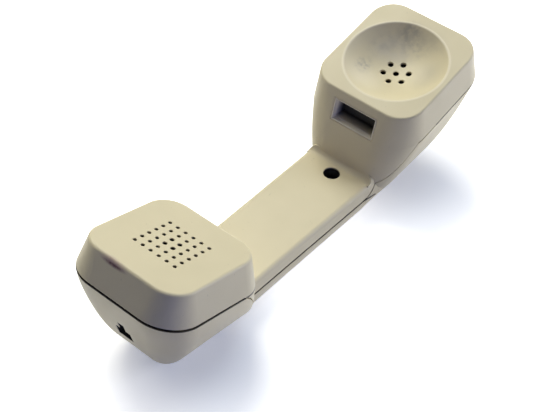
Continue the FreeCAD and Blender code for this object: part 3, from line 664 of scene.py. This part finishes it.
cloth_black = (0.05, 0.05, 0.05)
cloth_pitch = 0.0005
give(woven("mouth_cloth", cloth_black, mouth_tilt, cloth_pitch), "mic_cloth")
give(woven("ear_cloth", cloth_black, -ear_tilt, cloth_pitch), "receiver_cloth")
rubber = moulded_plastic("black_rubber", (0.028, 0.028, 0.028), (0.04, 0.04, 0.04), (0.6, 0.75))
give(rubber, "mic_gasket", "receiver_gasket")
give(plated("drawn_aluminium", (0.8, 0.8, 0.81), 0.28, 0.42, 150.0), "mic_can", "mic_element")
dark, dark_mottle = (0.035, 0.035, 0.035), (0.045, 0.045, 0.045)
give(moulded_plastic("dark_plastic", dark, dark_mottle, (0.38, 0.5)), "mic_base", "receiver_frame")
grey, grey_mottle = (0.12, 0.118, 0.11), (0.14, 0.135, 0.125)
clamp_plastic = moulded_plastic("clamp_plastic", grey, grey_mottle, (0.4, 0.52))
give(clamp_plastic, "mic_clamp", "receiver_clamp")


def circuit_board():
    """Green lacquer over glass fibre, with paler copper runs under it."""
    material, tree, shader = new_material("circuit_board")
    where = tree.nodes.new("ShaderNodeTexCoord")
    runs = tree.nodes.new("ShaderNodeTexVoronoi")
    runs.feature = "DISTANCE_TO_EDGE"
    runs.inputs["Scale"].default_value = 420.0
    wire(tree, where, "Object", runs, "Vector")
    mask = spread(tree, runs, "Distance", (0.06, 0.09), (1.0, 0.0))
    tone = tint(tree, mask, "Result", (0.02, 0.1, 0.035, 1), (0.06, 0.22, 0.08, 1))
    wire(tree, tone, 2, shader, "Base Color")
    shader.inputs["Roughness"].default_value = 0.3
    relief(tree, mask, "Result", 0.00003, shader)
    return material


give(circuit_board(), "mic_board")


# The receiver capsule under the ear dish: a moulded frame with a formed film diaphragm, a copper
# voice coil, and the magnet between its pole plate and its cup. A bridge on two posts holds it up
# against the dish.

def formed_film(name, colour):
    material, tree, shader = new_material(name)
    clouds = noise(tree, 200.0, 2.0)
    share = spread(tree, clouds, "Fac", (0.35, 0.65))
    tone = tint(tree, share, "Result", shade_of(colour), shade_of(colour, 0.9))
    wire(tree, tone, 2, shader, "Base Color")
    shader.inputs["Roughness"].default_value = 0.24
    shader.inputs["Coat Weight"].default_value = 0.3
    return material


give(formed_film("film", (0.55, 0.5, 0.38)), "receiver_diaphragm", "receiver_surround")


def winding(name, colour, tilt, wire_width):
    """Turns of enamelled wire side by side, across the coil's axis."""
    material, tree, shader = new_material(name)
    turns = turned_bands(tree, tilt, "Z", wire_width)
    tone = tint(tree, turns, "Fac", shade_of(colour, 0.35), shade_of(colour))
    wire(tree, tone, 2, shader, "Base Color")
    shader.inputs["Metallic"].default_value = 0.8
    shader.inputs["Roughness"].default_value = 0.3
    shader.inputs["Coat Weight"].default_value = 0.4
    relief(tree, turns, "Fac", 0.00004, shader)
    return material


give(winding("enamelled_wire", (0.62, 0.25, 0.1), -ear_tilt, 0.0002), "voice_coil")
give(plated("sintered_magnet", (0.12, 0.12, 0.125), 0.5, 0.65, 900.0), "receiver_magnet")
yoke_steel = plated("plated_yoke", (0.55, 0.55, 0.53), 0.3, 0.42, 180.0)
give(yoke_steel, "receiver_pole_plate", "receiver_yoke")


# The varistor across the receiver's terminals, which keeps clicks off the ear: a flat ceramic disc,
# dipped in blue lacquer and soldered to the two lugs.

give(formed_film("dipped_lacquer", (0.03, 0.08, 0.35)), "varistor")


# The weight in the handle: a mill-finished steel bar, which lets the light handset press the cradle
# down. Two black foam pads, cut from sheet, hold it still.

def foam(name, colour):
    material, tree, shader = new_material(name)
    cells = noise(tree, 1500.0, 2.0)
    share = spread(tree, cells, "Fac", (0.35, 0.65))
    tone = tint(tree, share, "Result", shade_of(colour, 0.5), shade_of(colour))
    wire(tree, tone, 2, shader, "Base Color")
    shader.inputs["Roughness"].default_value = 0.95
    relief(tree, cells, "Fac", 0.0003, shader)
    return material


give(plated("mill_steel", (0.34, 0.33, 0.32), 0.4, 0.6, 120.0), "handle_weight")
give(foam("black_foam", (0.07, 0.07, 0.07)), "weight_pads")


# The leads: a pair of stranded wires in soft insulation to each capsule, from the back of the jack.
# They run loose along the handle's sides, past the weight, and end soldered to the capsule's lugs.

lead_r = 0.0006
jack_back = 0.0154
lead_gap = 0.00005
lead_straight = 0.002


def lead_pair(name, replaced, points, colour):
    """Two like round wires, one each side of the middle, along a smooth line by its points."""
    pair = bmesh.new()
    for side in (-1, 1):
        curve = bpy.data.curves.new("lead_line", "CURVE")
        curve.dimensions = "3D"
        line = curve.splines.new("NURBS")
        line.points.add(len(points) - 1)
        for point, (x, y, z) in zip(line.points, points):
            point.co = (x, side * y, z, 1)
        line.order_u = 3
        line.use_endpoint_u = True
        line.resolution_u = 8
        curve.bevel_depth = lead_r
        curve.bevel_resolution = 3
        curve.use_fill_caps = True
        maker = bpy.data.objects.new("lead_line", curve)
        run = bpy.data.meshes.new_from_object(maker)
        pair.from_mesh(run)
        bpy.data.objects.remove(maker)
        bpy.data.curves.remove(curve)
        bpy.data.meshes.remove(run)
    bmesh.ops.remove_doubles(pair, verts=pair.verts, dist=1e-6)
    bmesh.ops.recalc_face_normals(pair, faces=pair.faces)
    for face in pair.faces:
        face.smooth = True
    piece(name, pair, formed_film(name + "_insulation", colour), replaced)


def lead_ends(y, up, place, lug_x, lug_y, lug_low):
    """The first two points, behind the jack, and the last two, under a capsule's lug."""
    start = [jack_place @ Vector((jack_back + run, y, up)) for run in (lead_gap, lead_straight)]
    stop = [place @ Vector((lug_x, lug_y, lug_low - run)) for run in (lead_straight, lead_gap)]
    return [tuple(p) for p in start], [tuple(p) for p in stop]


red, green = (0.5, 0.03, 0.02), (0.03, 0.26, 0.06)
mic_route = [(-0.0898, 0.0028, 0.0345)]
receiver_route = [
    (-0.076, 0.007, 0.017), (-0.060, 0.0106, 0.009), (-0.046, 0.0113, 0.007),
    (0.044, 0.0113, 0.007), (0.062, 0.0095, 0.0105), (0.080, 0.007, 0.019),
]
start, stop = lead_ends(0.0015, 0.0, mouth_place, -0.0095, 0.004, -0.0157)
lead_pair("mic_lead_pair", "leads_mic", start + mic_route + stop, red)
start, stop = lead_ends(0.0034, -0.002, ear_place, 0.0126, 0.0056, -0.0275)
route = start + receiver_route + stop
lead_pair("receiver_lead_pair", "leads_receiver", route, green)


# The table: a white sheet with a painted shadow. To the camera it glows low and cool near two
# points under the mouth and ear ends, and up to white away from them, over the soft shadow that the
# lamps cast.

def shown_share(tree):
    """1 for what the camera sees, straight or in gloss and glass."""
    path = tree.nodes.new("ShaderNodeLightPath")
    seen = arithmetic(tree, "MAXIMUM", path.outputs["Is Camera Ray"], path.outputs["Is Glossy Ray"])
    return arithmetic(tree, "MAXIMUM", seen.outputs[0], path.outputs["Is Transmission Ray"])


table_half = 3.0
painted_shadow_feet = [(-0.074, -0.014, 0.0), (0.076, -0.016, 0.0)]
painted_shadow_reach = (0.008, 0.056)
painted_shadow_glow, glow_past_painted_shadow = (0.20, 0.22, 0.27), (0.78, 0.79, 0.80)
lit_paper, seen_paper = (0.75, 0.75, 0.75), (0.95, 0.95, 0.95)
table_mesh = bmesh.new()
bmesh.ops.create_grid(table_mesh, x_segments=1, y_segments=1, size=table_half)
table_data = bpy.data.meshes.new("table")
table_mesh.to_mesh(table_data)
table_mesh.free()
table = bpy.data.objects.new("table", table_data)
bpy.context.scene.collection.objects.link(table)
table_white, table_tree, table_shader = new_material("table_white")
table_shader.inputs["Roughness"].default_value = 1.0
table_shader.inputs["Specular IOR Level"].default_value = 0.0
seen = shown_share(table_tree)
paper = tint(table_tree, seen, 0, shade_of(lit_paper), shade_of(seen_paper))
wire(table_tree, paper, 2, table_shader, "Base Color")
table_where = table_tree.nodes.new("ShaderNodeTexCoord")
# painted shadow: the glow the camera sees is cool and low near the two points, white beyond their
# reach
ways_off = [
    vector_step(table_tree, "DISTANCE", table_where.outputs["Object"], foot).outputs["Value"]
    for foot in painted_shadow_feet
]
nearest = arithmetic(table_tree, "MINIMUM", *ways_off)
share_past_painted_shadow = spread(table_tree, nearest, "Value", painted_shadow_reach)
paper_glow_with_painted_shadow = tint(table_tree, share_past_painted_shadow, "Result", shade_of(painted_shadow_glow), shade_of(glow_past_painted_shadow))
wire(table_tree, paper_glow_with_painted_shadow, 2, table_shader, "Emission Color")
wire(table_tree, seen, 0, table_shader, "Emission Strength")
table_data.materials.append(table_white)


# The light: soft round panels over the ear end, behind the handle and low at its near side, a weak
# blue one low in front, and a faint room all round.

room = bpy.data.worlds.new("room")
bpy.context.scene.world = room
room.use_nodes = True
room_tree = room.node_tree
background = room_tree.nodes["Background"]
room_colour = (0.93, 0.96, 1.0)
room_level = 0.012
background.inputs["Color"].default_value = shade_of(room_colour)
lift = arithmetic(room_tree, "MULTIPLY", shown_share(room_tree).outputs[0], 1.0 - room_level)
level = arithmetic(room_tree, "ADD", lift.outputs[0], room_level)
wire(room_tree, level, 0, background, "Strength")

# each panel: name, place, width, watts, colour
panels = [
    ("over_ear_panel", (0.9, 0.0, 1.7), 1.0, 5.6, (0.72, 0.85, 1.0)),
    ("behind_panel", (0.34, 0.70, 0.93), 0.8, 11.9, (1.0, 0.98, 0.87)),
    ("near_panel", (0.6, -0.6, 0.25), 0.4, 3.5, (0.84, 0.87, 1.0)),
    ("low_front_panel", (-0.45, -0.6, 0.2), 0.5, 0.75, (0.08, 0.15, 1.0)),
]
for name, spot, size, power, colour in panels:
    lamp = bpy.data.lights.new(name, "AREA")
    lamp.shape = "DISK"
    lamp.size = size
    lamp.energy = power
    lamp.color = colour
    lamp_object = bpy.data.objects.new(name, lamp)
    lamp_object.location = spot
    lamp_object.rotation_euler = (-Vector(spot)).to_track_quat("-Z", "Y").to_euler()
    bpy.context.scene.collection.objects.link(lamp_object)


# The camera: above the mouth end and to its right, looking down along the handle.

scene = bpy.context.scene
camera_data = bpy.data.cameras.new("camera")
camera_data.lens = 76.7
camera_data.sensor_width = 36.0
camera = bpy.data.objects.new("camera", camera_data)
camera.location = (-0.31096, -0.21224, 0.39113)
line_of_sight = Vector((0.58069, 0.40985, -0.70344))
roll = Matrix.Rotation(math.radians(5.516), 4, "Z")
level_view = line_of_sight.to_track_quat("-Z", "Y").to_matrix().to_4x4()
camera.rotation_euler = (level_view @ roll).to_euler()
scene.collection.objects.link(camera)
scene.camera = camera
scene.view_settings.view_transform = "Standard"
